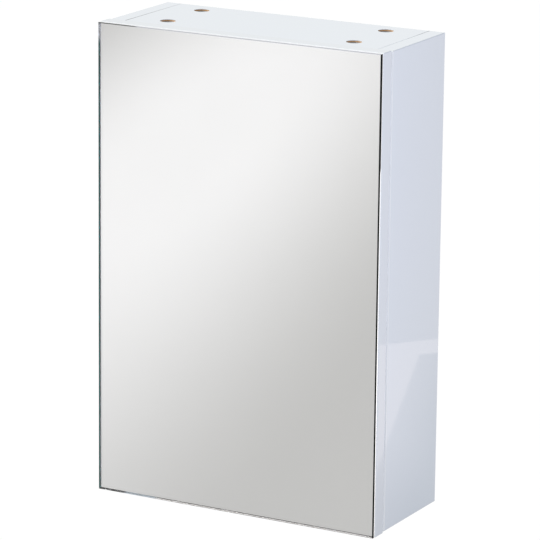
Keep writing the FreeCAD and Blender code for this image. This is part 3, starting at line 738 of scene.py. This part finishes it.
floor_shape = bmesh.new()
bmesh.ops.create_grid(floor_shape, x_segments=1, y_segments=1, size=floor_span / 2)
bmesh.ops.translate(floor_shape, vec=(0, 0, floor_height), verts=floor_shape.verts)
floor = new_piece("studio_floor", floor_shape)

floor_with_painted_light, nodes, links, shader = new_finish("floor_with_painted_light")
shader.inputs["Roughness"].default_value = 1.0
shader.inputs["Specular IOR Level"].default_value = 0.0
# Painted light: the floor is lighter in a pool in front to the left and in a white zone behind to the left.
place = nodes.new("ShaderNodeTexCoord")
pool_place = nodes.new("ShaderNodeMapping")
pool_place.vector_type = "TEXTURE"
pool_place.inputs["Location"].default_value = pool_centre
pool_place.inputs["Rotation"].default_value = (0, 0, pool_turn)
pool_place.inputs["Scale"].default_value = pool_reach
pool = nodes.new("ShaderNodeTexGradient")
pool.gradient_type = "SPHERICAL"
links.new(place.outputs["Object"], pool_place.inputs["Vector"])
links.new(pool_place.outputs["Vector"], pool.inputs["Vector"])
pool_part = share_between(nodes, links, pool.outputs["Fac"], *pool_fade, top=pool_level, curve="SMOOTHSTEP")
behind = nodes.new("ShaderNodeVectorMath")
behind.operation = "DOT_PRODUCT"
behind.inputs[1].default_value = painted_light_direction
links.new(place.outputs["Object"], behind.inputs[0])
painted_light_part = share_between(nodes, links, behind.outputs["Value"], *painted_light_fade, curve="SMOOTHSTEP")
lit = two_values(nodes, links, "MAXIMUM", pool_part, painted_light_part)
links.new(blend_colours(nodes, links, lit, floor_pale, floor_painted_light), shader.inputs["Base Color"])
floor.data.materials.append(floor_with_painted_light)

# Light: a bright even surround, one soft lamp in front to the left and above, a weak bluish one
# on the right, and four panels behind to the right that the gloss of the side panel shows.
# The last of them fades out along its width.
white_light = (1.0, 1.0, 1.0, 1.0)
surround_level = 0.52
key_level = 2.55
key_softness = math.radians(16.0)
key_direction = Vector((0.88, 0.47, -0.80))
fill_power = 4.2
fill_tint = (0.67, 0.72, 1.0)
fill_size = 0.30
fill_place = Vector((0.75, -0.75, 0.06))
fill_aim = Vector((0.15, -0.05, -0.10))
panel_tint = (1.0, 0.86, 0.80)
panel_corner = Vector((1.220, 2.143, -0.920))
panel_along = Vector((0.62, -0.785, 0.0))
panel_down = Vector((0.426, 0.338, -0.84))
panels = {
    "low_panel": {"start": (0.0, 0.0), "size": (0.45, 0.60), "radiance": 1.10},
    "strip_panel": {"start": (-0.4, 0.0), "size": (0.4, 0.035), "radiance": 1.10},
    "high_panel": {"start": (-0.4, -0.95), "size": (1.0, 0.95), "radiance": 0.48},
    "fading_panel": {"start": (-0.1, 0.035), "size": (0.1, 0.565), "radiance": 0.50},
}

world = bpy.data.worlds.new("studio")
bpy.context.scene.world = world
world.use_nodes = True
nodes = world.node_tree.nodes
links = world.node_tree.links
ambient = nodes["Background"]
ambient.inputs["Color"].default_value = white_light
ambient.inputs["Strength"].default_value = surround_level
seen = nodes.new("ShaderNodeBackground")
seen.inputs["Color"].default_value = white_light
path = nodes.new("ShaderNodeLightPath").outputs
direct = two_values(nodes, links, "MAXIMUM", path["Is Camera Ray"], path["Is Glossy Ray"])
any_sight = two_values(nodes, links, "MAXIMUM", direct, path["Is Transmission Ray"])
choice = nodes.new("ShaderNodeMixShader")
links.new(any_sight, choice.inputs["Fac"])
links.new(ambient.outputs["Background"], choice.inputs[1])
links.new(seen.outputs["Background"], choice.inputs[2])
links.new(choice.outputs["Shader"], nodes["World Output"].inputs["Surface"])

key_data = bpy.data.lights.new("key_lamp", "SUN")
key_data.energy = key_level
key_data.angle = key_softness
key = bpy.data.objects.new("key_lamp", key_data)
key.matrix_world = key_direction.to_track_quat("-Z", "Y").to_matrix().to_4x4()

fill_data = bpy.data.lights.new("fill_lamp", "AREA")
fill_data.energy = fill_power
fill_data.color = fill_tint
fill_data.size = fill_size
fill = bpy.data.objects.new("fill_lamp", fill_data)
fill_turn = (fill_aim - fill_place).to_track_quat("-Z", "Y").to_matrix().to_4x4()
fill.matrix_world = Matrix.Translation(fill_place) @ fill_turn
fill.visible_glossy = False

lamps = [key, fill]
panel_axes = Matrix((panel_along, panel_down, panel_along.cross(panel_down))).transposed()
for name, panel in panels.items():
    width, height = panel["size"]
    panel_data = bpy.data.lights.new(name, "AREA")
    panel_data.energy = panel["radiance"] * math.pi * width * height
    panel_data.color = panel_tint
    panel_data.shape = "RECTANGLE"
    panel_data.size = width
    panel_data.size_y = height
    light_panel = bpy.data.objects.new(name, panel_data)
    start_along, start_down = panel["start"]
    middle = panel_along * (start_along + width / 2) + panel_down * (start_down + height / 2)
    light_panel.matrix_world = Matrix.Translation(panel_corner + middle) @ panel_axes.to_4x4()
    lamps.append(light_panel)
fading = bpy.data.lights["fading_panel"]
fading.use_nodes = True
nodes = fading.node_tree.nodes
links = fading.node_tree.links
across = nodes.new("ShaderNodeSeparateXYZ")
links.new(nodes.new("ShaderNodeNewGeometry").outputs["Parametric"], across.inputs["Vector"])
links.new(across.outputs["X"], nodes["Emission"].inputs["Strength"])
for lamp in lamps:
    lamp.visible_camera = False
    bpy.context.scene.collection.objects.link(lamp)

# Camera: a long lens to the right of the cabinet and above it.
# It is turned a little about its own axis, as a camera held by hand is.
view_azimuth = math.radians(28.7314)
view_elevation = math.radians(14.399)
view_roll = math.radians(0.6023)
view_place = Vector((1.6249, -3.0255, 0.673))
view_lens = 244.4632
view_sensor = 36.0

back = Vector((
    math.sin(view_azimuth) * math.cos(view_elevation),
    -math.cos(view_azimuth) * math.cos(view_elevation),
    math.sin(view_elevation),
))
level = Vector((0, 0, 1)).cross(back).normalized()
upright = back.cross(level)
view_axes = Matrix((level, upright, back)).transposed() @ Matrix.Rotation(view_roll, 3, "Z")
camera_data = bpy.data.cameras.new("camera")
camera_data.lens = view_lens
camera_data.sensor_width = view_sensor
camera = bpy.data.objects.new("camera", camera_data)
camera.matrix_world = Matrix.Translation(view_place) @ view_axes.to_4x4()
bpy.context.scene.collection.objects.link(camera)
bpy.context.scene.camera = camera
bpy.context.scene.view_settings.view_transform = "Standard"
